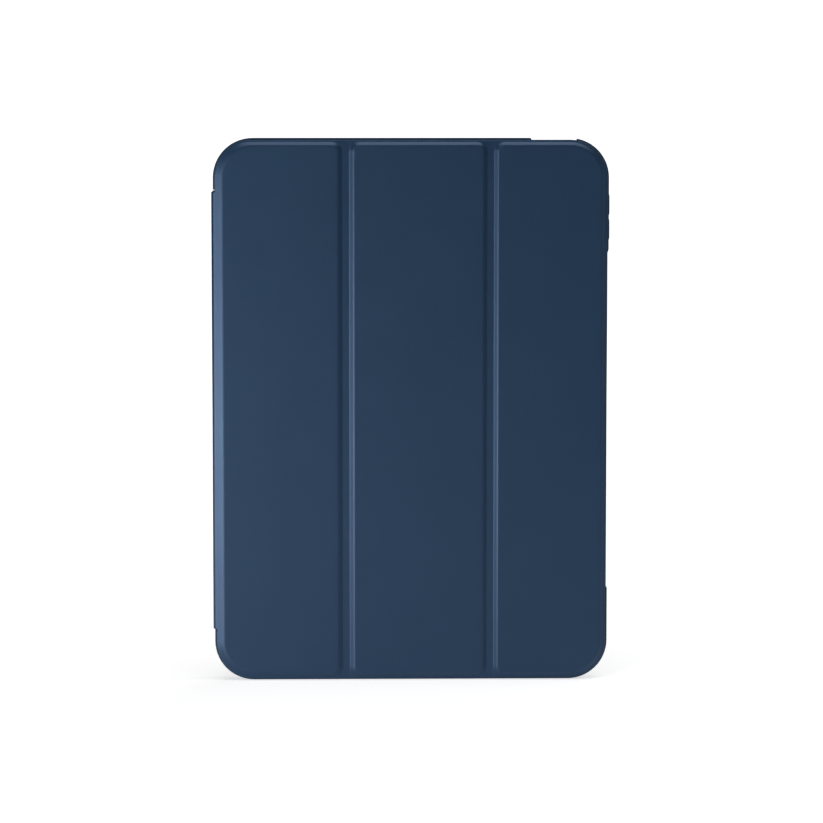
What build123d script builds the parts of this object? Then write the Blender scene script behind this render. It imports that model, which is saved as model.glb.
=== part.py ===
from build123d import *
import os

# Folio case for an 11 inch tablet. A rimmed rear shell holds the tablet, and a
# three-panel cover, hinged along the left side through a narrow spine, closes
# over the screen and folds into a triangular stand.
#
# Frame: the case stands upright on its bottom edge, closed. +Z is up, the cover
# faces -Y, and the spine is at -X. The origin is at the middle of the base.
# Across the case, positions are first given as distances from the shell's left
# edge, and u() turns them into X. All sizes are in millimetres.

# ---- Driving dimensions -------------------------------------------------------

TABLET_WIDTH = 178.5
TABLET_HEIGHT = 247.6
TABLET_DEPTH = 5.9
TABLET_PLAY = 0.1

WALL = 1.9
SHELL_RADIUS = 18.2
LIP_DEPTH = 1.0
LIP_REACH = 1.5
BACK_DEPTH = 1.3
BACK_FLANGE = 4.0
BACK_LINING_DEPTH = 0.45
FRONT_EDGE_RADIUS = 0.6
BACK_EDGE_RADIUS = 1.8

COVER_GAP = 0.25
COVER_INSET = 0.8
LINING_DEPTH = 0.5
BOARD_DEPTH = 1.2
PANEL_SKIN_DEPTH = 0.7
WEB_SKIN_DEPTH = 0.6

# Raised pads of the cover: where the sloped shoulder has its foot and its top.
PAD_FOOT_INSET = 1.7
PAD_TOP_INSET = 3.4
PAD_LEFT_FOOT = 1.0
PAD_LEFT_TOP = 4.2
PAD_CORNER_FOOT = 4.7
PAD_CORNER_TOP = 2.8

# Folding grooves: centre, half width of the floor, half width between flats.
GROOVE_CENTRES = (61.1, 127.85)
GROOVE_FLOOR_HALF = 1.65
GROOVE_TOP_HALVES = (3.7, 3.45)
FOLD_AXIS_OFFSET = 0.85
FOLD_CLEARANCE = 0.3

SPINE_LOW = 23.6
SPINE_TOP_DROP = 24.1
SPINE_PROUD = 0.75
SPINE_SKIN = 0.55
SPINE_BOARD = 0.4
SPINE_LINING = 0.35
SPINE_CHAMFER = 1.0
SPINE_CLEARANCE = 0.3
SPINE_END_GAP = 0.4
HINGE_CLEARANCE = 0.9
FLAP_START = 1.2
FLAP_END = 20.0
FLAP_DEPTH = 0.7
FLAP_PROUD = 0.2
FLAP_RADIUS = 3.0

CAMERA_SIZE = 32.0
CAMERA_EDGE = 7.5
CAMERA_RADIUS = 7.0
RING_WIDTH = 2.0
RING_PROUD = 0.8

BUTTON_DROPS = (30.75, 42.15)
BUTTON_LENGTH = 9.6
BUTTON_HEIGHT = 3.4
BUTTON_PROUD = 0.45
BUTTON_CLEARANCE = 0.2
BUTTON_FLANGE = 0.7
BUTTON_FLANGE_DEPTH = 0.4
BUTTON_POCKET = 0.9
BUTTON_REST_GAP = 0.1

STYLUS_LOW = 42.5
STYLUS_TOP_DROP = 51.5
NOTCH_RAMP = 4.0
TOP_KEY_START = 146.1
TOP_KEY_END = 168.9
TOP_KEY_RAMP = 1.5
TOP_KEY_STEP = 1.5
NOTCH_BACK = 2.1

PORT_WIDTH = 13.0
PORT_HEIGHT = 5.4
SPEAKER_WIDTH = 24.0
SPEAKER_HEIGHT = 3.0
TOP_SPEAKERS = (40.0, 126.0)
BOTTOM_SPEAKERS = (40.0, 142.5)
MICROPHONE_RADIUS = 1.0

MAGNET_DEPTH = 0.8
MAGNET_LENGTH = 12.0
MAGNET_WIDTH = 5.0
STAND_MAGNETS = 5
CLOSING_MAGNETS = 4
WAKE_MAGNET_RADIUS = 3.0

# ---- Positions worked out from them --------------------------------------------

SHELL_WIDTH = TABLET_WIDTH + 2 * (TABLET_PLAY + WALL)
SHELL_HEIGHT = TABLET_HEIGHT + 2 * (TABLET_PLAY + WALL)
SHELL_LEFT = -(SHELL_WIDTH + BUTTON_PROUD - SPINE_PROUD) / 2

COVER_DEPTH = LINING_DEPTH + BOARD_DEPTH + PANEL_SKIN_DEPTH
CAVITY_DEPTH = TABLET_DEPTH + TABLET_PLAY
SHELL_DEPTH = LIP_DEPTH + CAVITY_DEPTH + BACK_LINING_DEPTH + BACK_DEPTH
FULL_DEPTH = COVER_DEPTH + COVER_GAP + SHELL_DEPTH + RING_PROUD

FACE_Y = -FULL_DEPTH / 2
BOARD_Y = FACE_Y + PANEL_SKIN_DEPTH
LINING_Y = BOARD_Y + BOARD_DEPTH
COVER_BACK_Y = LINING_Y + LINING_DEPTH
WEB_Y = LINING_Y - WEB_SKIN_DEPTH
LIP_Y = COVER_BACK_Y + COVER_GAP
CAVITY_Y = LIP_Y + LIP_DEPTH
BACK_LINING_Y = CAVITY_Y + CAVITY_DEPTH
BACK_INNER_Y = BACK_LINING_Y + BACK_LINING_DEPTH
BACK_Y = BACK_INNER_Y + BACK_DEPTH
RING_Y = BACK_Y + RING_PROUD
TABLET_MID_Y = CAVITY_Y + CAVITY_DEPTH / 2
NOTCH_Y = BACK_Y - NOTCH_BACK

SPINE_HIGH = SHELL_HEIGHT - SPINE_TOP_DROP
SPINE_MID = (SPINE_SKIN + SPINE_BOARD + SPINE_LINING) / 2 - SPINE_PROUD
SPINE_INNER = SPINE_SKIN + SPINE_BOARD + SPINE_LINING - SPINE_PROUD
FLAP_Y = BACK_Y + FLAP_PROUD - FLAP_DEPTH
FRONT_HINGE_Y = COVER_BACK_Y + 0.1
REAR_HINGE_Y = FLAP_Y + 0.3


def u(distance):
    """X of a point this far from the shell's left edge."""
    return SHELL_LEFT + distance


# ---- Shape helpers --------------------------------------------------------------


def outline(left, right, low, high, left_radius, right_radius):
    """A rectangle in X and Z whose left and right corners have their own radii."""
    face = Pos((left + right) / 2, (low + high) / 2) * Rectangle(right - left, high - low)
    face = fillet(face.vertices().group_by(Axis.X)[0], left_radius)
    return fillet(face.vertices().group_by(Axis.X)[-1], right_radius)


def shell_outline(inset):
    """The shell's outline, moved in by this much, with its corners concentric."""
    radius = SHELL_RADIUS - inset
    return outline(
        u(inset), u(SHELL_WIDTH - inset), inset, SHELL_HEIGHT - inset, radius, radius
    )


def slab(shape, front_y, back_y):
    """A flat outline made solid between two depths."""
    return extrude(Plane.XZ.offset(-back_y) * shape, back_y - front_y)


def block(left, right, front_y, back_y, low, high):
    """A plain box given by its faces."""
    centre = Pos((left + right) / 2, (front_y + back_y) / 2, (low + high) / 2)
    return centre * Box(right - left, back_y - front_y, high - low)


def side_pill(length, height, grow, from_x, to_x, centre_z):
    """A round-ended bar that lies along Z and is pushed through along X."""
    shape = SlotOverall(length + 2 * grow, height + 2 * grow, rotation=90)
    plane = Plane(origin=(from_x, TABLET_MID_Y, centre_z), x_dir=(0, 1, 0), z_dir=(1, 0, 0))
    return extrude(plane * shape, to_x - from_x)


def wall_slot(length, height, centre_x, low, high):
    """A round-ended slot through the top or the bottom wall."""
    plane = Plane(origin=(centre_x, TABLET_MID_Y, low), x_dir=(1, 0, 0), z_dir=(0, 0, 1))
    return extrude(plane * SlotOverall(length, height), high - low)


def save(shape, node):
    """One file for each sub-part, named after its node."""
    export_step(shape, f"parts/{node}.step")


# ---- Rear shell -----------------------------------------------------------------


def flap_outline(left):
    return outline(u(left), u(FLAP_END), SPINE_LOW, SPINE_HIGH, 0.3, FLAP_RADIUS)


def camera_square(grow):
    """The camera opening, or the ring round it, at the shell's upper right."""
    centre_x = u(SHELL_WIDTH - WALL - CAMERA_EDGE - CAMERA_SIZE / 2)
    centre_z = SHELL_HEIGHT - WALL - CAMERA_EDGE - CAMERA_SIZE / 2
    side = CAMERA_SIZE + 2 * grow
    return Pos(centre_x, centre_z) * RectangleRounded(side, side, CAMERA_RADIUS + grow)


def stylus_notch():
    """Side opening where a stylus clips to the tablet, with ramped ends."""
    low = STYLUS_LOW
    high = SHELL_HEIGHT - STYLUS_TOP_DROP
    inner = u(SHELL_WIDTH - WALL - LIP_REACH) - 0.5
    wall_inner = u(SHELL_WIDTH - WALL)
    wall_outer = u(SHELL_WIDTH)
    corners = [
        (inner, low + NOTCH_RAMP),
        (wall_inner, low + NOTCH_RAMP),
        (wall_outer, low),
        (wall_outer + 0.5, low),
        (wall_outer + 0.5, high),
        (wall_outer, high),
        (wall_inner, high - NOTCH_RAMP),
        (inner, high - NOTCH_RAMP),
    ]
    return slab(make_face(Polyline(*corners, close=True)), LIP_Y - 1, NOTCH_Y)


def top_key_notch():
    """Opening in the top wall for the tablet's top key; the wall behind it is lower."""
    inner = SHELL_HEIGHT - WALL - LIP_REACH - 0.5
    outer = SHELL_HEIGHT + 0.5
    corners = [
        (u(TOP_KEY_START) + TOP_KEY_RAMP, inner),
        (u(TOP_KEY_END) - TOP_KEY_RAMP, inner),
        (u(TOP_KEY_END), outer),
        (u(TOP_KEY_START), outer),
    ]
    notch = slab(make_face(Polyline(*corners, close=True)), LIP_Y - 1, NOTCH_Y)
    step = SHELL_HEIGHT - TOP_KEY_STEP
    edge = [
        (u(TOP_KEY_START) + TOP_KEY_RAMP, step),
        (u(TOP_KEY_END) - TOP_KEY_RAMP, step),
        (u(TOP_KEY_END), outer),
        (u(TOP_KEY_START), outer),
    ]
    return notch + slab(make_face(Polyline(*edge, close=True)), LIP_Y - 1, BACK_Y + 1)


def make_bumper_frame():
    """Soft rim that grips the tablet's edge, with every opening in its walls."""
    frame = slab(shell_outline(0), LIP_Y, BACK_Y)
    faces = frame.faces().sort_by(Axis.Y)
    frame = fillet(faces[0].edges(), FRONT_EDGE_RADIUS)
    frame = fillet(frame.faces().sort_by(Axis.Y)[-1].edges(), BACK_EDGE_RADIUS)
    frame -= slab(shell_outline(WALL), CAVITY_Y, BACK_INNER_Y)
    frame -= slab(shell_outline(WALL + LIP_REACH), LIP_Y - 1, CAVITY_Y)
    frame -= slab(shell_outline(WALL + BACK_FLANGE), BACK_INNER_Y, BACK_Y + 1)

    recess = SPINE_INNER + SPINE_CLEARANCE
    low = SPINE_LOW - SPINE_END_GAP
    high = SPINE_HIGH + SPINE_END_GAP
    frame -= block(u(-1), u(recess), LIP_Y - 1, BACK_Y + 1, low, high)
    frame -= slab(flap_outline(0), FLAP_Y, BACK_Y + 1)

    frame -= stylus_notch()
    frame -= top_key_notch()
    wall_low = -1
    wall_high = WALL + 0.5
    for centre in BOTTOM_SPEAKERS:
        frame -= wall_slot(SPEAKER_WIDTH, SPEAKER_HEIGHT, u(centre), wall_low, wall_high)
    frame -= wall_slot(PORT_WIDTH, PORT_HEIGHT, u(SHELL_WIDTH / 2), wall_low, wall_high)
    for centre in TOP_SPEAKERS:
        frame -= wall_slot(
            SPEAKER_WIDTH,
            SPEAKER_HEIGHT,
            u(centre),
            SHELL_HEIGHT - wall_high,
            SHELL_HEIGHT + 1,
        )
    hole = Cylinder(MICROPHONE_RADIUS, 2 * wall_high)
    frame -= Pos(u(SHELL_WIDTH / 2), TABLET_MID_Y, SHELL_HEIGHT) * hole

    inner_x = u(SHELL_WIDTH - WALL)
    flange_length = BUTTON_LENGTH + 2 * BUTTON_FLANGE
    top = SHELL_HEIGHT - BUTTON_DROPS[0] + flange_length / 2 + BUTTON_CLEARANCE
    bottom = SHELL_HEIGHT - BUTTON_DROPS[1] - flange_length / 2 - BUTTON_CLEARANCE
    half = BUTTON_HEIGHT / 2 + BUTTON_FLANGE + BUTTON_CLEARANCE
    frame -= block(
        inner_x - 0.1,
        inner_x + BUTTON_POCKET,
        TABLET_MID_Y - half,
        TABLET_MID_Y + half,
        bottom,
        top,
    )
    for drop in BUTTON_DROPS:
        centre_z = SHELL_HEIGHT - drop
        frame -= side_pill(
            BUTTON_LENGTH,
            BUTTON_HEIGHT,
            BUTTON_CLEARANCE,
            inner_x,
            u(SHELL_WIDTH) + 1,
            centre_z,
        )
    return frame


def make_back_plate():
    """Stiff back, seated in the rim, open at the camera and recessed for the flap."""
    plate = slab(shell_outline(WALL + BACK_FLANGE), BACK_INNER_Y, BACK_Y)
    plate -= slab(camera_square(0), BACK_INNER_Y - 1, BACK_Y + 1)
    return plate - slab(flap_outline(0), FLAP_Y, BACK_Y + 1)


def make_back_lining():
    """Soft sheet glued inside the back."""
    sheet = slab(shell_outline(WALL + 0.1), BACK_LINING_Y, BACK_INNER_Y)
    return sheet - slab(camera_square(0.3), BACK_LINING_Y - 1, BACK_Y)


def make_camera_ring():
    """Raised bezel that keeps the lenses off a table."""
    ring = slab(camera_square(RING_WIDTH), BACK_Y, RING_Y)
    ring = fillet(ring.faces().sort_by(Axis.Y)[-1].edges(), 0.5)
    return ring - slab(camera_square(0), BACK_Y - 1, RING_Y + 1)


def make_hinge_flap():
    """The cover's outer skin where it is glued to the back."""
    return slab(flap_outline(FLAP_START), FLAP_Y, FLAP_Y + FLAP_DEPTH)


def make_volume_cover(drop):
    """Push-through button cover with a flange that holds it behind the wall."""
    wall_face = u(SHELL_WIDTH - WALL) + BUTTON_POCKET
    flange_end = wall_face - BUTTON_REST_GAP
    centre_z = SHELL_HEIGHT - drop
    cap = side_pill(
        BUTTON_LENGTH,
        BUTTON_HEIGHT,
        0,
        flange_end - BUTTON_FLANGE_DEPTH,
        u(SHELL_WIDTH) + BUTTON_PROUD,
        centre_z,
    )
    cap = fillet(cap.faces().sort_by(Axis.X)[-1].edges(), 0.35)
    flange = side_pill(
        BUTTON_LENGTH,
        BUTTON_HEIGHT,
        BUTTON_FLANGE,
        flange_end - BUTTON_FLANGE_DEPTH,
        flange_end,
        centre_z,
    )
    return cap + flange


# ---- Spine ----------------------------------------------------------------------


def spine_envelope(left, right, front_y, back_y):
    """A strip along the case's side, with its outer corners cut at 45 degrees."""
    full = Pos(u(SPINE_MID), (SPINE_LOW + SPINE_HIGH) / 2) * Rectangle(
        2 * (SPINE_MID + SPINE_PROUD), SPINE_HIGH - SPINE_LOW
    )
    full = chamfer(full.vertices().group_by(Axis.X)[0], SPINE_CHAMFER)
    strip = slab(full, front_y, back_y)
    return strip & block(u(left), u(right), front_y, back_y, SPINE_LOW, SPINE_HIGH)


def make_spine():
    """Skin, stiffener and lining of the strip between the two long hinges."""
    front_y = FRONT_HINGE_Y + HINGE_CLEARANCE
    back_y = REAR_HINGE_Y - HINGE_CLEARANCE
    skin_end = SPINE_SKIN - SPINE_PROUD
    board_end = skin_end + SPINE_BOARD
    rim = 0.4
    board = spine_envelope(skin_end, board_end, front_y + rim, back_y - rim)
    board &= block(u(-1), u(1), FACE_Y, RING_Y, SPINE_LOW + 2, SPINE_HIGH - 2)
    skin = spine_envelope(-SPINE_PROUD, board_end, front_y, back_y) - board
    lining = spine_envelope(board_end, SPINE_INNER, front_y, back_y)
    return {"spine_skin": skin, "spine_board": board, "spine_lining": lining}


# ---- Cover ----------------------------------------------------------------------


def cover_edges():
    """Left and right ends of the three panels and of the two folding strips."""
    left = COVER_INSET
    panels = []
    strips = []
    for centre in GROOVE_CENTRES:
        near = centre - FOLD_AXIS_OFFSET
        far = centre + FOLD_AXIS_OFFSET
        panels.append((left, near - FOLD_CLEARANCE))
        strips.append((near + FOLD_CLEARANCE, far - FOLD_CLEARANCE))
        left = far + FOLD_CLEARANCE
    panels.append((left, SHELL_WIDTH - COVER_INSET))
    return panels, strips


def cover_sheet(ends, front_y, back_y):
    """One layer of the cover, cut from its outline between two ends."""
    sheet = slab(shell_outline(COVER_INSET), front_y, back_y)
    return sheet & block(u(ends[0]), u(ends[1]), front_y, back_y, 0, SHELL_HEIGHT)


def pad_outline(index, at_top):
    """Outline of a raised pad, at the foot or at the top of its shoulders."""
    last = len(GROOVE_CENTRES)
    inset = PAD_TOP_INSET if at_top else PAD_FOOT_INSET
    corner = PAD_CORNER_TOP if at_top else PAD_CORNER_FOOT
    outer_corner = SHELL_RADIUS - inset
    if index == 0:
        left = PAD_LEFT_TOP if at_top else PAD_LEFT_FOOT
    else:
        half = GROOVE_TOP_HALVES[index - 1] if at_top else GROOVE_FLOOR_HALF
        left = GROOVE_CENTRES[index - 1] + half
    if index == last:
        right = SHELL_WIDTH - inset
    else:
        half = GROOVE_TOP_HALVES[index] if at_top else GROOVE_FLOOR_HALF
        right = GROOVE_CENTRES[index] - half
    return outline(
        u(left),
        u(right),
        inset,
        SHELL_HEIGHT - inset,
        outer_corner if index == 0 else corner,
        outer_corner if index == last else corner,
    )


def make_pad(index):
    """Raised pad with sloped shoulders, from the web's skin out to the face."""
    foot = Plane.XZ.offset(-WEB_Y) * pad_outline(index, False)
    top = Plane.XZ.offset(-FACE_Y) * pad_outline(index, True)
    return loft([foot, top], ruled=True)


def magnet_bars(count, centre_x):
    """A column of flat bar magnets, evenly spaced, buried in a board."""
    bars = []
    pitch = SHELL_HEIGHT / (count + 1)
    front_y = BOARD_Y + (BOARD_DEPTH - MAGNET_DEPTH) / 2
    for number in range(1, count + 1):
        middle = number * pitch
        bars.append(
            block(
                centre_x - MAGNET_WIDTH / 2,
                centre_x + MAGNET_WIDTH / 2,
                front_y,
                front_y + MAGNET_DEPTH,
                middle - MAGNET_LENGTH / 2,
                middle + MAGNET_LENGTH / 2,
            )
        )
    return Compound(children=bars)


def make_wake_magnet():
    """Round magnet that tells the tablet whether the cover is shut."""
    x = u(SHELL_WIDTH - PAD_TOP_INSET - 5)
    place = Pos(x, BOARD_Y + BOARD_DEPTH / 2, SHELL_HEIGHT * 0.7)
    return place * Rot(90, 0, 0) * Cylinder(WAKE_MAGNET_RADIUS, MAGNET_DEPTH)


def make_panel(index, ends, magnets):
    """Skin, board and lining of one cover panel, with the board cut for its magnets."""
    board = slab(pad_outline(index, True), BOARD_Y, LINING_Y)
    skin = cover_sheet(ends, WEB_Y, LINING_Y) + make_pad(index) - board
    for magnet in magnets:
        board -= magnet
    number = index + 1
    return {
        f"panel_{number}_skin": skin,
        f"panel_{number}_board": board,
        f"panel_{number}_lining": cover_sheet(ends, LINING_Y, COVER_BACK_Y),
    }


def make_strip(number, ends):
    """Folding strip between two panels: skin bonded straight to lining."""
    return {
        f"fold_{number}_skin": cover_sheet(ends, WEB_Y, LINING_Y),
        f"fold_{number}_lining": cover_sheet(ends, LINING_Y, COVER_BACK_Y),
    }


# ---- Build ----------------------------------------------------------------------


def build_case():
    """Every node of the case, by name."""
    nodes = {
        "bumper_frame": make_bumper_frame(),
        "back_plate": make_back_plate(),
        "back_lining": make_back_lining(),
        "camera_ring": make_camera_ring(),
        "hinge_flap": make_hinge_flap(),
        "volume_up_cover": make_volume_cover(BUTTON_DROPS[0]),
        "volume_down_cover": make_volume_cover(BUTTON_DROPS[1]),
    }
    nodes.update(make_spine())

    stand_magnets = magnet_bars(STAND_MAGNETS, u(PAD_LEFT_TOP + 4))
    closing_magnets = magnet_bars(CLOSING_MAGNETS, u(SHELL_WIDTH - PAD_TOP_INSET - 5))
    wake_magnet = make_wake_magnet()
    magnets = ([stand_magnets], [], [closing_magnets, wake_magnet])
    panels, strips = cover_edges()
    for index, ends in enumerate(panels):
        nodes.update(make_panel(index, ends, magnets[index]))
    for number, ends in enumerate(strips, start=1):
        nodes.update(make_strip(number, ends))
    nodes["stand_magnets"] = stand_magnets
    nodes["closing_magnets"] = closing_magnets
    nodes["wake_magnet"] = wake_magnet
    return nodes


os.makedirs("parts", exist_ok=True)
for node, shape in build_case().items():
    save(shape, node)
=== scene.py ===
import math

import bmesh
import bpy
from mathutils import Matrix, Vector


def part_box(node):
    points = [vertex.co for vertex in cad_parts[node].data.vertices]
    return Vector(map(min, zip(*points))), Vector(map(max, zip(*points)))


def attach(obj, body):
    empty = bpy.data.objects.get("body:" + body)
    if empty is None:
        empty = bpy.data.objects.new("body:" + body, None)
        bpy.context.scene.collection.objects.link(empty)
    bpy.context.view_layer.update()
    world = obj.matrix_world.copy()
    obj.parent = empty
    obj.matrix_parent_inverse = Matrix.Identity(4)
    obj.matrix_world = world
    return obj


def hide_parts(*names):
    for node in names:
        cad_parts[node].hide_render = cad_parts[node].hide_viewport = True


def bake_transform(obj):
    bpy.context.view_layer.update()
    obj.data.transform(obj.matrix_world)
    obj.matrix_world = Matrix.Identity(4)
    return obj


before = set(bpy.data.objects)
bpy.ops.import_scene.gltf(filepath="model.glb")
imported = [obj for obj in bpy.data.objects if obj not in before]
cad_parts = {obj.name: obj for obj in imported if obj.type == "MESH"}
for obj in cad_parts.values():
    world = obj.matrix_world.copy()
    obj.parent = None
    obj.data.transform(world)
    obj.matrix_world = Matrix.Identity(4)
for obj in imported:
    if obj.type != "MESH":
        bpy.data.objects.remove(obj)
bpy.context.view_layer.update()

# Folio case for a tablet, closed and standing on its bottom edge. The cover faces -Y and the
# spine is at -X. The rim, the back and the keys keep their CAD shapes. The leather and its
# microfibre lining are modelled here: three padded panels, the webs between them that fold,
# and the sheet that rolls round the spine to the flap on the back.

MM = 0.001

# ---- Sizes read from the frame ----------------------------------------------------

SHELL_LOW, SHELL_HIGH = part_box("bumper_frame")
SHELL_LEFT = SHELL_LOW.x
SHELL_RIGHT = SHELL_HIGH.x
SHELL_TOP = SHELL_HIGH.z
SHELL_RADIUS = 18.2 * MM

PANELS = [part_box(f"panel_{n}_skin") for n in (1, 2, 3)]
STRIPS = [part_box(f"fold_{n}_skin") for n in (1, 2)]
COVER_LEFT = PANELS[0][0].x
COVER_RIGHT = PANELS[2][1].x
COVER_LOW = PANELS[0][0].z
COVER_TOP = PANELS[0][1].z
FACE_Y = PANELS[0][0].y
WEB_Y = STRIPS[0][0].y
LINING_Y = STRIPS[0][1].y
COVER_BACK_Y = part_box("panel_1_lining")[1].y

SPINE_LOW, SPINE_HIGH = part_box("spine_skin")
SPINE_FACE_X = SPINE_LOW.x
SPINE_INNER_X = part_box("spine_lining")[1].x
FLAP_LOW, FLAP_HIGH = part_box("hinge_flap")

# ---- Sizes of the soft shapes -----------------------------------------------------

PAD_FOOT = 1.7 * MM
PAD_TOP = 3.4 * MM
PAD_LEFT_FOOT = 1.0 * MM
PAD_LEFT_TOP = 4.2 * MM
PAD_CORNER_FOOT = 4.7 * MM
PAD_CORNER_TOP = 2.8 * MM
GROOVE_FLOOR_HALF = 1.65 * MM
GROOVE_TOP_HALVES = (3.7 * MM, 3.45 * MM)
SEAM_HALF = 1.4 * MM
COVER_CORNER = SHELL_RADIUS - (COVER_LEFT - SHELL_LEFT)

EDGE_ROUND = 0.3 * MM
LIP_ROUND = 0.55 * MM
SHEET_DEPTH = SPINE_INNER_X - SPINE_FACE_X
SKIN_DEPTH = 0.75 * MM
ROLL_RADIUS = 1.3 * MM
END_CUT = 0.8 * MM
ROLL_REACH = 0.15 * MM
ROLL_LAP = 0.5 * MM
ROLL_LIFT = 0.02 * MM
TIGHT_CORNER = 0.05 * MM
FLAP_CORNER = 3.0 * MM
LINING_MARGIN = 0.25 * MM
CAP_BORDER = 1.2 * MM
CORNER_STEPS = 16
WEB_STEPS = 16
CREASE = math.radians(50)
WELD = 0.001 * MM

GROOVES = [(low.x + high.x) / 2 for low, high in STRIPS]


# ---- Mesh helpers -----------------------------------------------------------------


def finished(mesh, name, material):
    """Turn a bmesh into a smooth object at the origin, with its faces outwards."""
    bmesh.ops.remove_doubles(mesh, verts=mesh.verts, dist=WELD)
    bmesh.ops.recalc_face_normals(mesh, faces=mesh.faces)
    for face in mesh.faces:
        face.smooth = True
    data = bpy.data.meshes.new(name)
    mesh.to_mesh(data)
    mesh.free()
    data.materials.append(material)
    data.set_sharp_from_angle(angle=CREASE)
    piece = bpy.data.objects.new(name, data)
    bpy.context.scene.collection.objects.link(piece)
    return piece


def rounded_outline(mesh, sides, radii, y):
    """A face in X and Z with sides (left, right, low, high) and radii (left, right)."""
    left, right, low, high = sides
    made = bmesh.ops.create_grid(mesh, x_segments=1, y_segments=1, size=0.5)
    corners = made["verts"]
    bmesh.ops.scale(mesh, verts=corners, vec=(right - left, high - low, 1))
    bmesh.ops.rotate(mesh, verts=corners, matrix=Matrix.Rotation(math.radians(90), 3, "X"))
    bmesh.ops.translate(mesh, verts=corners, vec=((left + right) / 2, y, (low + high) / 2))
    face = corners[0].link_faces[0]
    middle = (left + right) / 2
    for radius, at_left in zip(radii, (True, False)):
        picked = [v for v in face.verts if (v.co.x < middle) == at_left]
        bmesh.ops.bevel(
            mesh,
            geom=picked,
            offset=radius,
            offset_type="OFFSET",
            segments=CORNER_STEPS,
            profile=0.5,
            affect="VERTICES",
            clamp_overlap=False,
            material=-1,
        )
        face = max(mesh.faces, key=lambda f: f.calc_area())
    return face


def in_order(face):
    """The corners of an outline from the left end of its low side, always the same way round."""
    verts = list(face.verts)
    low = min(v.co.z for v in verts)
    lowest = [v for v in verts if v.co.z < low + 0.00005 * MM]
    first = verts.index(min(lowest, key=lambda v: v.co.x))
    verts = verts[first:] + verts[:first]
    if verts[1].co.x < verts[0].co.x:
        verts = verts[:1] + verts[:0:-1]
    return verts


def loft(mesh, sections):
    """One closed shell through a row of rounded outlines."""
    face = rounded_outline(mesh, *sections[0])
    for number, section in enumerate(sections[1:]):
        pattern = bmesh.new()
        goals = [v.co.copy() for v in in_order(rounded_outline(pattern, *section))]
        pattern.free()
        raised = bmesh.ops.extrude_face_region(mesh, geom=[face])["geom"]
        if number > 0:
            bmesh.ops.delete(mesh, geom=[face], context="FACES_ONLY")
        face = next(g for g in raised if isinstance(g, bmesh.types.BMFace))
        for vert, goal in zip(in_order(face), goals):
            vert.co = goal


# ---- Panels -----------------------------------------------------------------------


def panel_edges(index):
    """Left and right ends of a panel's skin, which stop at the seams of the grooves."""
    left = COVER_LEFT if index == 0 else GROOVES[index - 1] + SEAM_HALF
    right = COVER_RIGHT if index == 2 else GROOVES[index] - SEAM_HALF
    return left, right


def edge_sides(index, inset):
    """Outline of a panel's flange, moved in only where it is the cover's own edge."""
    left, right = panel_edges(index)
    sides = (
        left + (inset if index == 0 else 0),
        right - (inset if index == 2 else 0),
        COVER_LOW + inset,
        COVER_TOP - inset,
    )
    radii = (
        COVER_CORNER - inset if index == 0 else TIGHT_CORNER,
        COVER_CORNER - inset if index == 2 else TIGHT_CORNER,
    )
    return sides, radii


def between(foot, top, share):
    """The size that lies this share of the way from a shoulder's foot to its top."""
    return foot + (top - foot) * share


def pad_sides(index, share, rise):
    """Outline of a pad's shoulder: share 0 is its foot and share 1 is its top."""
    inset = between(PAD_FOOT, PAD_TOP, share)
    if index == 0:
        left = SHELL_LEFT + between(PAD_LEFT_FOOT, PAD_LEFT_TOP, max(rise, min(share, 1.3)))
        left_radius = SHELL_RADIUS - inset
    else:
        half = between(GROOVE_FLOOR_HALF, GROOVE_TOP_HALVES[index - 1], share)
        left = GROOVES[index - 1] + half
        left_radius = between(PAD_CORNER_FOOT, PAD_CORNER_TOP, share)
    if index == 2:
        right = SHELL_RIGHT - inset
        right_radius = SHELL_RADIUS - inset
    else:
        half = between(GROOVE_FLOOR_HALF, GROOVE_TOP_HALVES[index], share)
        right = GROOVES[index] - half
        right_radius = between(PAD_CORNER_FOOT, PAD_CORNER_TOP, share)
    return (left, right, inset, SHELL_TOP - inset), (left_radius, right_radius)


def shoulder_profile():
    """Steps (share, rise) of a shoulder with a tight foot and a softly rounded top."""
    foot = 0.12
    top = 0.26
    steps = []
    for number in range(5):
        share = -foot + 2 * foot * number / 4
        steps.append((share, (share + foot) ** 2 / (4 * foot)))
    steps.append((0.45, 0.45))
    for number in range(9):
        share = 1 - top + 2 * top * number / 8
        steps.append((share, 1 - (1 + top - share) ** 2 / (4 * top)))
    return steps


def make_panel_skin(index, material):
    """Leather over one board: flange, shoulders and flat pad, closed behind."""
    sections = [
        (*edge_sides(index, 0), LINING_Y),
        (*edge_sides(index, 0), WEB_Y + LIP_ROUND),
    ]
    for number in range(1, 9):
        turn = math.radians(90 * number / 8)
        inset = LIP_ROUND * (1 - math.cos(turn))
        depth = WEB_Y + LIP_ROUND * (1 - math.sin(turn))
        sections.append((*edge_sides(index, inset), depth))
    for share, rise in shoulder_profile():
        y = WEB_Y + (FACE_Y - WEB_Y) * rise
        sections.append((*pad_sides(index, share, rise), y))
    sections.append((*pad_sides(index, 1.8, 1.0), FACE_Y))
    mesh = bmesh.new()
    loft(mesh, sections)
    return finished(mesh, f"panel_{index + 1}_leather", material)


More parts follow.
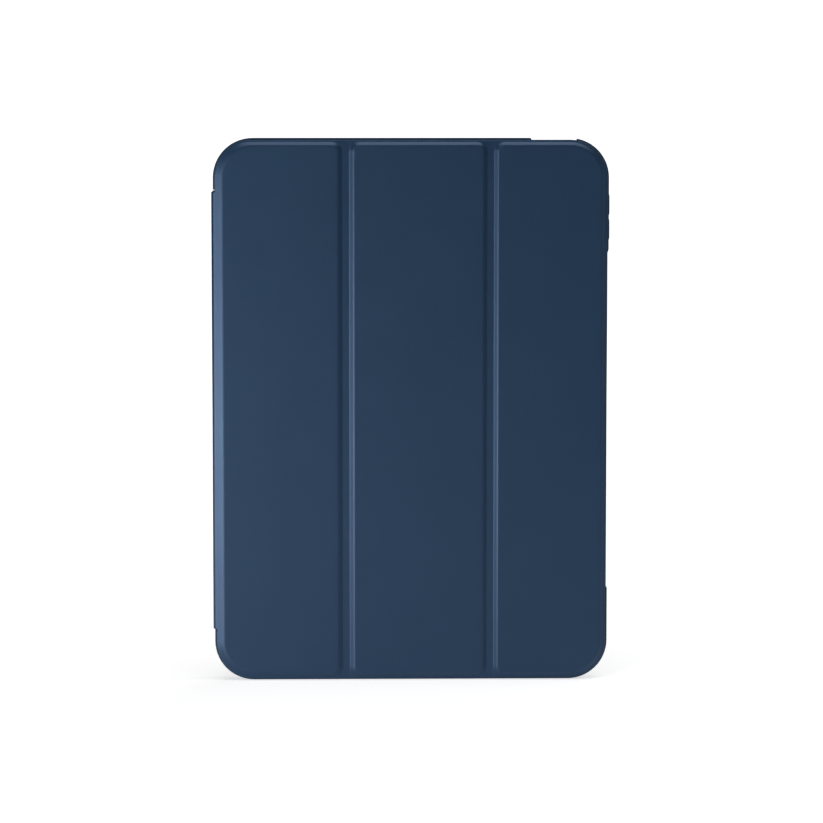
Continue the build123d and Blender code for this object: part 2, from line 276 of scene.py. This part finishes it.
def make_panel_lining(index, material):
    """Microfibre behind one panel, with a soft pressed edge just inside the leather."""
    sections = [
        (*edge_sides(index, LINING_MARGIN), LINING_Y),
        (*edge_sides(index, LINING_MARGIN), COVER_BACK_Y - EDGE_ROUND),
    ]
    for number in range(1, 5):
        turn = math.radians(90 * number / 4)
        inset = LINING_MARGIN + EDGE_ROUND * (1 - math.cos(turn))
        depth = COVER_BACK_Y - EDGE_ROUND * (1 - math.sin(turn))
        sections.append((*edge_sides(index, inset), depth))
    sections.append((*edge_sides(index, LINING_MARGIN + CAP_BORDER), COVER_BACK_Y))
    mesh = bmesh.new()
    loft(mesh, sections)
    return finished(mesh, f"panel_{index + 1}_microfibre", material)


# ---- Webs that fold ---------------------------------------------------------------


def make_web(name, left, right, front_y, back_y, inset, round_front, material):
    """A strip of sheet across a groove, cut finely enough to bend."""
    mesh = bmesh.new()
    bmesh.ops.create_cube(mesh, size=1)
    low = COVER_LOW + inset
    high = COVER_TOP - inset
    bmesh.ops.scale(mesh, verts=mesh.verts, vec=(right - left, back_y - front_y, high - low))
    middle = ((left + right) / 2, (front_y + back_y) / 2, (low + high) / 2)
    bmesh.ops.translate(mesh, verts=mesh.verts, vec=middle)
    rounded_y = front_y if round_front else back_y
    ends = [
        e for e in mesh.edges
        if all(abs(v.co.y - rounded_y) < 1e-7 for v in e.verts)
        and abs(e.verts[0].co.z - e.verts[1].co.z) < 1e-7
    ]
    bmesh.ops.bevel(
        mesh, geom=ends, offset=LIP_ROUND if round_front else EDGE_ROUND, offset_type="OFFSET",
        segments=8, profile=0.5, affect="EDGES", clamp_overlap=False, material=-1,
    )
    for number in range(1, WEB_STEPS):
        x = left + (right - left) * number / WEB_STEPS
        geometry = mesh.verts[:] + mesh.edges[:] + mesh.faces[:]
        bmesh.ops.bisect_plane(mesh, geom=geometry, plane_co=(x, 0, 0), plane_no=(1, 0, 0))
    return finished(mesh, name, material)


def make_webs(index, leather, microfibre):
    """Both halves of one groove's floor, leather in front and microfibre behind."""
    centre = GROOVES[index]
    layers = (
        ("leather", WEB_Y, LINING_Y, 0, True, leather, "cover_skin"),
        ("microfibre", LINING_Y, COVER_BACK_Y, LINING_MARGIN, False, microfibre, "lining"),
    )
    for layer, front_y, back_y, inset, in_front, material, slot in layers:
        near = make_web(
            f"groove_{index + 1}_near_{layer}", centre - SEAM_HALF, centre,
            front_y, back_y, inset, in_front, material,
        )
        far = make_web(
            f"groove_{index + 1}_far_{layer}", centre, centre + SEAM_HALF,
            front_y, back_y, inset, in_front, material,
        )
        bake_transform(near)
        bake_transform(far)
        node = "skin" if layer == "leather" else "lining"
        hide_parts(f"fold_{index + 1}_{node}")


# ---- Spine and the rolled sheets --------------------------------------------------


def roll_sheet(name, path, depth_from, depth_to, material):
    """A sheet swept up the spine: path gives (x, y, outward x, outward y) along it.

    The outer layer's ends are cut back a little on the outside, as on a trimmed sheet.
    """
    mesh = bmesh.new()
    outer = [Vector((x - nx * depth_from, y - ny * depth_from, 0)) for x, y, nx, ny in path]
    inner = [Vector((x - nx * depth_to, y - ny * depth_to, 0)) for x, y, nx, ny in path]
    corners = [mesh.verts.new(p) for p in outer + inner[::-1]]
    face = mesh.faces.new(corners)
    raised = bmesh.ops.extrude_face_region(mesh, geom=[face])["geom"]
    top = [v for v in raised if isinstance(v, bmesh.types.BMVert)]
    bmesh.ops.translate(mesh, verts=corners, vec=(0, 0, SPINE_LOW.z))
    bmesh.ops.translate(mesh, verts=top, vec=(0, 0, SPINE_HIGH.z))
    if depth_from == 0:
        bmesh.ops.translate(mesh, verts=corners[:len(path)], vec=(0, 0, END_CUT))
        bmesh.ops.translate(mesh, verts=outer_verts(top, outer), vec=(0, 0, -END_CUT))
    return finished(mesh, name, material)


def outer_verts(verts, outer):
    """The vertices among these that lie on the outer line."""
    found = []
    for point in outer:
        found.append(min(verts, key=lambda v: (v.co.x - point.x) ** 2 + (v.co.y - point.y) ** 2))
    return found


def front_roll_path():
    """From panel 1's left slope, round into the spine's outer face."""
    slope = math.atan2(WEB_Y - FACE_Y, PAD_LEFT_TOP - PAD_LEFT_FOOT)
    foot = Vector((SHELL_LEFT + PAD_LEFT_FOOT, WEB_Y))
    along = Vector((-math.cos(slope), math.sin(slope)))
    out = Vector((-math.sin(slope), -math.cos(slope)))
    centre_x = SPINE_FACE_X + ROLL_RADIUS
    touch_x = centre_x + out.x * ROLL_RADIUS
    touch = foot + along * ((foot.x - touch_x) / -along.x)
    centre = touch - out * ROLL_RADIUS
    path = []
    for number in range(7):
        point = foot - along * ROLL_LAP + (touch - foot + along * ROLL_LAP) * number / 6
        lift = ROLL_LIFT * (number / 3 - 1 if number < 6 else 1)
        path.append((point.x + out.x * lift, point.y + out.y * lift, out.x, out.y))
    start = math.pi / 2 - slope
    for number in range(1, 15):
        turn = start * (1 - number / 14)
        nx, ny = -math.cos(turn), -math.sin(turn)
        path.append((centre.x + nx * ROLL_RADIUS, centre.y + ny * ROLL_RADIUS, nx, ny))
    path.append((SPINE_FACE_X, SPINE_LOW.y + ROLL_REACH, -1.0, 0.0))
    return path


def rear_roll_path():
    """From the spine's outer face, round into the flap on the back."""
    centre_x = SPINE_FACE_X + ROLL_RADIUS
    centre_y = FLAP_HIGH.y - ROLL_RADIUS
    path = [(SPINE_FACE_X, SPINE_HIGH.y - ROLL_REACH, -1.0, 0.0)]
    for number in range(1, 17):
        turn = math.pi / 2 * number / 16
        nx, ny = -math.cos(turn), math.sin(turn)
        path.append((centre_x + nx * ROLL_RADIUS, centre_y + ny * ROLL_RADIUS, nx, ny))
    path.append((FLAP_LOW.x + 0.3 * MM, FLAP_HIGH.y, 0.0, 1.0))
    return path


def spine_path():
    """The stiff strip between the two rolls."""
    low = SPINE_LOW.y + ROLL_REACH
    high = SPINE_HIGH.y - ROLL_REACH
    return [(SPINE_FACE_X, low + (high - low) * n / 6, -1.0, 0.0) for n in range(7)]


def make_spine(leather, microfibre):
    """Leather and lining of the spine and of its two rolls."""
    layers = (
        ("leather", 0.0, SKIN_DEPTH, leather, "cover_skin"),
        ("microfibre", SKIN_DEPTH, SHEET_DEPTH, microfibre, "lining"),
    )
    for layer, outer, inner, material, slot in layers:
        strip = roll_sheet(f"spine_{layer}", spine_path(), outer, inner, material)
        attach(strip, "spine")
        if layer == "leather":
            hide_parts("spine_skin", "spine_board")
        else:
            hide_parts("spine_lining")
        roll = roll_sheet(f"front_roll_{layer}", front_roll_path(), outer, inner, material)
        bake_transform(roll)
        roll = roll_sheet(f"rear_roll_{layer}", rear_roll_path(), outer, inner, material)
        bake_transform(roll)


def make_flap(material):
    """End of the cover's leather, pressed flat on the back with a rounded edge."""
    sections = []
    for inset, y in (
        (0.0, FLAP_LOW.y),
        (0.0, FLAP_HIGH.y - 0.15 * MM),
        (0.05 * MM, FLAP_HIGH.y - 0.05 * MM),
        (0.15 * MM, FLAP_HIGH.y),
        (CAP_BORDER, FLAP_HIGH.y),
    ):
        sides = (FLAP_LOW.x, FLAP_HIGH.x - inset, FLAP_LOW.z + inset, FLAP_HIGH.z - inset)
        sections.append((sides, (TIGHT_CORNER, FLAP_CORNER - inset), y))
    mesh = bmesh.new()
    loft(mesh, sections)
    return finished(mesh, "flap_leather", material)


# ---- Materials --------------------------------------------------------------------


def new_group(name, outputs, inputs):
    """An empty shader group with named sockets, and its two ends."""
    group = bpy.data.node_groups.new(name, "ShaderNodeTree")
    for label, kind, value in inputs:
        socket = group.interface.new_socket(label, in_out="INPUT", socket_type=kind)
        socket.default_value = value
    for label, kind in outputs:
        group.interface.new_socket(label, in_out="OUTPUT", socket_type=kind)
    start = group.nodes.new("NodeGroupInput")
    end = group.nodes.new("NodeGroupOutput")
    return group, start, end


def noise(tree, scale, detail, roughness=0.5):
    """A noise texture whose scale is in lumps per metre."""
    texture = tree.nodes.new("ShaderNodeTexNoise")
    texture.inputs["Scale"].default_value = scale
    texture.inputs["Detail"].default_value = detail
    texture.inputs["Roughness"].default_value = roughness
    return texture


def math_node(tree, operation, first, second, third=None):
    """One calculation, where a number or a socket may be given for each value."""
    node = tree.nodes.new("ShaderNodeMath")
    node.operation = operation
    for place, value in enumerate((first, second, third)):
        if value is None:
            continue
        if isinstance(value, (int, float)):
            node.inputs[place].default_value = value
        else:
            tree.links.new(value, node.inputs[place])
    return node.outputs[0]


def pebble_group():
    """Fine pressed pebble of coated leather: height, and how worn a place is."""
    group, start, end = new_group(
        "pressed_pebble",
        [("Height", "NodeSocketFloat"), ("Mottle", "NodeSocketFloat")],
        [("Pebbles per metre", "NodeSocketFloat", 2600.0), ("Fineness", "NodeSocketFloat", 9000.0)],
    )
    place = group.nodes.new("ShaderNodeTexCoord")
    cells = group.nodes.new("ShaderNodeTexVoronoi")
    cells.feature = "SMOOTH_F1"
    cells.inputs["Smoothness"].default_value = 0.6
    fine = noise(group, 9000.0, 2.0)
    broad = noise(group, 45.0, 3.0)
    for node in (cells, fine, broad):
        group.links.new(place.outputs["Object"], node.inputs["Vector"])
    group.links.new(start.outputs["Pebbles per metre"], cells.inputs["Scale"])
    group.links.new(start.outputs["Fineness"], fine.inputs["Scale"])
    pebble = math_node(group, "MULTIPLY", cells.outputs["Distance"], 0.6)
    height = math_node(group, "MULTIPLY_ADD", fine.outputs["Fac"], 0.4, pebble)
    group.links.new(height, end.inputs["Height"])
    group.links.new(broad.outputs["Fac"], end.inputs["Mottle"])
    return group


def pile_group():
    """Short brushed pile of microfibre: height, and light and dark of the nap."""
    group, start, end = new_group(
        "short_pile",
        [("Height", "NodeSocketFloat"), ("Nap", "NodeSocketFloat")],
        [("Fibres per metre", "NodeSocketFloat", 5200.0)],
    )
    place = group.nodes.new("ShaderNodeTexCoord")
    lay = group.nodes.new("ShaderNodeMapping")
    lay.inputs["Scale"].default_value = (1.0, 1.0, 0.35)
    fibres = noise(group, 5200.0, 3.0, 0.65)
    nap = noise(group, 70.0, 4.0, 0.6)
    group.links.new(place.outputs["Object"], lay.inputs["Vector"])
    group.links.new(lay.outputs["Vector"], fibres.inputs["Vector"])
    group.links.new(place.outputs["Object"], nap.inputs["Vector"])
    group.links.new(start.outputs["Fibres per metre"], fibres.inputs["Scale"])
    group.links.new(fibres.outputs["Fac"], end.inputs["Height"])
    group.links.new(nap.outputs["Fac"], end.inputs["Nap"])
    return group


def surface(
    name, group, colours, roughnesses, bump,
    sheen=0.0, specular=0.5, tint=(1.0, 1.0, 1.0), **values
):
    """A material from an effect group: two colours, two roughnesses and a bump."""
    material = bpy.data.materials.new(name)
    material.use_nodes = True
    tree = material.node_tree
    shader = tree.nodes["Principled BSDF"]
    effect = tree.nodes.new("ShaderNodeGroup")
    effect.node_tree = group
    for label, value in values.items():
        effect.inputs[label.replace("_", " ")].default_value = value
    share = effect.outputs[1]
    colour = tree.nodes.new("ShaderNodeMix")
    colour.data_type = "RGBA"
    colour.inputs["A"].default_value = (*colours[0], 1)
    colour.inputs["B"].default_value = (*colours[1], 1)
    tree.links.new(share, colour.inputs["Factor"])
    tree.links.new(colour.outputs["Result"], shader.inputs["Base Color"])
    spread = math_node(tree, "MULTIPLY_ADD", share, roughnesses[1] - roughnesses[0], roughnesses[0])
    tree.links.new(spread, shader.inputs["Roughness"])
    relief = tree.nodes.new("ShaderNodeBump")
    relief.inputs["Strength"].default_value = bump[0]
    relief.inputs["Distance"].default_value = bump[1]
    tree.links.new(effect.outputs["Height"], relief.inputs["Height"])
    tree.links.new(relief.outputs["Normal"], shader.inputs["Normal"])
    shader.inputs["Specular IOR Level"].default_value = specular
    shader.inputs["Specular Tint"].default_value = (*tint, 1)
    shader.inputs["Sheen Weight"].default_value = sheen
    shader.inputs["Sheen Roughness"].default_value = 0.5
    shader.inputs["Sheen Tint"].default_value = (*tint, 1)
    return material


def make_materials():
    """Every finish of the case."""
    pebble = pebble_group()
    pile = pile_group()
    return {
        "leather": surface(
            "navy_coated_leather", pebble,
            ((0.009, 0.032, 0.073), (0.011, 0.038, 0.084)), (0.40, 0.46),
            (0.25, 0.00004), specular=1.0, tint=(0.46, 0.65, 1.0),
            Pebbles_per_metre=2600.0, Fineness=9000.0,
        ),
        "microfibre": surface(
            "navy_microfibre", pile,
            ((0.017, 0.040, 0.086), (0.028, 0.060, 0.122)), (0.85, 0.95),
            (0.6, 0.0001), sheen=0.15, specular=0.2, tint=(0.5, 0.7, 1.0), Fibres_per_metre=5200.0,
        ),
        "rim": surface(
            "navy_soft_moulding", pebble,
            ((0.013, 0.042, 0.094), (0.016, 0.048, 0.106)), (0.56, 0.64),
            (0.15, 0.00003), specular=0.4,
            Pebbles_per_metre=6500.0, Fineness=16000.0,
        ),
        "back": surface(
            "navy_matte_moulding", pebble,
            ((0.014, 0.047, 0.105), (0.017, 0.054, 0.120)), (0.50, 0.58),
            (0.2, 0.00003), specular=0.45,
            Pebbles_per_metre=5000.0, Fineness=14000.0,
        ),
        "board": surface(
            "grey_board", pile,
            ((0.14, 0.14, 0.15), (0.19, 0.19, 0.2)), (0.8, 0.9),
            (0.2, 0.00005), Fibres_per_metre=2400.0,
        ),
        "magnet": surface(
            "nickel_plate", pebble,
            ((0.55, 0.55, 0.57), (0.62, 0.62, 0.64)), (0.25, 0.35),
            (0.05, 0.00002), Pebbles_per_metre=9000.0, Fineness=20000.0,
        ),
    }


def dress_nodes(materials):
    """Give the CAD nodes that stay their finishes."""
    finish = {
        "bumper_frame": "rim",
        "camera_ring": "rim",
        "volume_up_cover": "rim",
        "volume_down_cover": "rim",
        "back_plate": "back",
        "back_lining": "microfibre",
        "panel_1_board": "board",
        "panel_2_board": "board",
        "panel_3_board": "board",
        "stand_magnets": "magnet",
        "closing_magnets": "magnet",
        "wake_magnet": "magnet",
    }
    for node, kind in finish.items():
        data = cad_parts[node].data
        data.materials.clear()
        data.materials.append(materials[kind])
    shader = materials["magnet"].node_tree.nodes["Principled BSDF"]
    shader.inputs["Metallic"].default_value = 1.0


# ---- Stage ------------------------------------------------------------------------

AMBIENT = 0.02
BACKGROUND_SHOWN = 1.05
FLOOR_GLOW = 0.2
FLOOR_SHOWN = 0.64
FAR_SHOWN = 1.1
FADE_NEAR = 0.3
FADE_FAR = 1.4
LENS = 141.35
SENSOR_WIDTH = 36
CAMERA_DISTANCE = 1.5
CAMERA_ACROSS = -0.0316
CAMERA_ABOVE = 0.1362
AIM_OFFSET = Vector((0.00038, 0, -0.00078))


def soft_light(name, place, target, size, watts):
    """A soft light panel aimed at a point and not itself in the picture."""
    data = bpy.data.lights.new(name, "AREA")
    data.shape = "RECTANGLE"
    data.size, data.size_y = size
    data.energy = watts
    light = bpy.data.objects.new(name, data)
    light.location = place
    light.visible_camera = False
    light.rotation_euler = (Vector(target) - Vector(place)).to_track_quat("-Z", "Y").to_euler()
    bpy.context.scene.collection.objects.link(light)


def make_world():
    """A white background that gives only a little light of its own."""
    world = bpy.data.worlds.new("studio")
    world.use_nodes = True
    tree = world.node_tree
    background = tree.nodes["Background"]
    background.inputs["Color"].default_value = (1, 1, 1, 1)
    path = tree.nodes.new("ShaderNodeLightPath")
    strength = tree.nodes.new("ShaderNodeMix")
    strength.inputs["A"].default_value = AMBIENT
    strength.inputs["B"].default_value = BACKGROUND_SHOWN
    tree.links.new(path.outputs["Is Camera Ray"], strength.inputs["Factor"])
    tree.links.new(strength.outputs["Result"], background.inputs["Strength"])
    bpy.context.scene.world = world


def make_floor():
    """White floor that sweeps up behind."""
    mesh = bmesh.new()
    start = mesh.verts.new((-4, -4, 0))
    end = mesh.verts.new((4, -4, 0))
    edge = mesh.edges.new((start, end))
    run = bmesh.ops.extrude_edge_only(mesh, edges=[edge])["geom"]
    verts = [g for g in run if isinstance(g, bmesh.types.BMVert)]
    edges = [g for g in run if isinstance(g, bmesh.types.BMEdge)]
    bmesh.ops.translate(mesh, verts=verts, vec=(0, 6.5, 0))
    bmesh.ops.spin(
        mesh, geom=verts + edges, cent=(0, 2.5, 1), axis=(1, 0, 0),
        angle=math.radians(85), steps=24, dvec=(0, 0, 0),
    )
    data = bpy.data.meshes.new("floor")
    bmesh.ops.recalc_face_normals(mesh, faces=mesh.faces)
    for face in mesh.faces:
        face.smooth = True
    mesh.to_mesh(data)
    mesh.free()
    white = bpy.data.materials.new("white_floor")
    white.use_nodes = True
    shader = white.node_tree.nodes["Principled BSDF"]
    shader.inputs["Base Color"].default_value = (0.93, 0.93, 0.93, 1)
    shader.inputs["Roughness"].default_value = 0.9
    shader.inputs["Specular IOR Level"].default_value = 0.1
    shader.inputs["Emission Color"].default_value = (1, 1, 1, 1)
    path = white.node_tree.nodes.new("ShaderNodeLightPath")
    glow = white.node_tree.nodes.new("ShaderNodeMix")
    glow.inputs["A"].default_value = FLOOR_GLOW
    place = white.node_tree.nodes.new("ShaderNodeTexCoord")
    parts = white.node_tree.nodes.new("ShaderNodeSeparateXYZ")
    fade = white.node_tree.nodes.new("ShaderNodeMapRange")
    fade.inputs["From Min"].default_value = FADE_NEAR
    fade.inputs["From Max"].default_value = FADE_FAR
    fade.inputs["To Min"].default_value = FLOOR_SHOWN
    fade.inputs["To Max"].default_value = FAR_SHOWN
    white.node_tree.links.new(place.outputs["Object"], parts.inputs["Vector"])
    white.node_tree.links.new(parts.outputs["Y"], fade.inputs["Value"])
    white.node_tree.links.new(fade.outputs["Result"], glow.inputs["B"])
    white.node_tree.links.new(path.outputs["Is Camera Ray"], glow.inputs["Factor"])
    white.node_tree.links.new(glow.outputs["Result"], shader.inputs["Emission Strength"])
    data.materials.append(white)
    floor = bpy.data.objects.new("floor", data)
    bpy.context.scene.collection.objects.link(floor)


def make_lights():
    """Soft key light low at the left front, a bank above, and fills behind and at the right."""
    middle = Vector(((SHELL_LEFT + SHELL_RIGHT) / 2, 0, SHELL_TOP / 2))
    soft_light("left_front", (-1.15, -1.2, 0.1), middle, (0.5, 0.4), 4.8)
    soft_light("low_card", (-0.45, -0.5, 0.03), middle, (0.3, 0.05), 1.4)
    soft_light("top_bank", (0.15, -0.25, 1.4), middle, (1.5, 0.7), 8.0)
    soft_light("right_fill", (1.7, 0.2, 0.5), middle, (1.0, 0.8), 1.6)
    soft_light("back_bank", (0.9, 1.7, 0.9), middle, (1.2, 1.0), 9)


def make_camera():
    """A long lens a little above the middle and a little to the left."""
    camera = bpy.data.objects.new("camera", bpy.data.cameras.new("camera"))
    camera.data.lens = LENS
    camera.data.sensor_width = SENSOR_WIDTH
    centre = Vector((0, 0, SHELL_TOP / 2))
    depth = math.sqrt(CAMERA_DISTANCE ** 2 - CAMERA_ACROSS ** 2 - CAMERA_ABOVE ** 2)
    camera.location = centre + Vector((CAMERA_ACROSS, -depth, CAMERA_ABOVE))
    aim = centre + AIM_OFFSET
    camera.rotation_mode = "QUATERNION"
    camera.rotation_quaternion = (aim - camera.location).to_track_quat("-Z", "Y")
    bpy.context.scene.collection.objects.link(camera)
    bpy.context.scene.camera = camera
    bpy.context.scene.view_settings.view_transform = "Standard"


def make_stage():
    """Everything round the case: floor, background, lights and camera."""
    make_floor()
    make_world()
    make_lights()
    make_camera()


# ---- The case ---------------------------------------------------------------------


def build_case():
    """Model every piece, set what the panel, spine and flap pieces ride on, and give each its
    finish.
    """
    materials = make_materials()
    leather = materials["leather"]
    microfibre = materials["microfibre"]
    for index in range(3):
        skin = make_panel_skin(index, leather)
        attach(skin, f"panel_{index + 1}")
        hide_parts(f"panel_{index + 1}_skin")
        lining = make_panel_lining(index, microfibre)
        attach(lining, f"panel_{index + 1}")
        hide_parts(f"panel_{index + 1}_lining")
    for index in range(2):
        make_webs(index, leather, microfibre)
    make_spine(leather, microfibre)
    flap = make_flap(leather)
    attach(flap, "rear_shell")
    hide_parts("hinge_flap")
    dress_nodes(materials)


build_case()
make_stage()
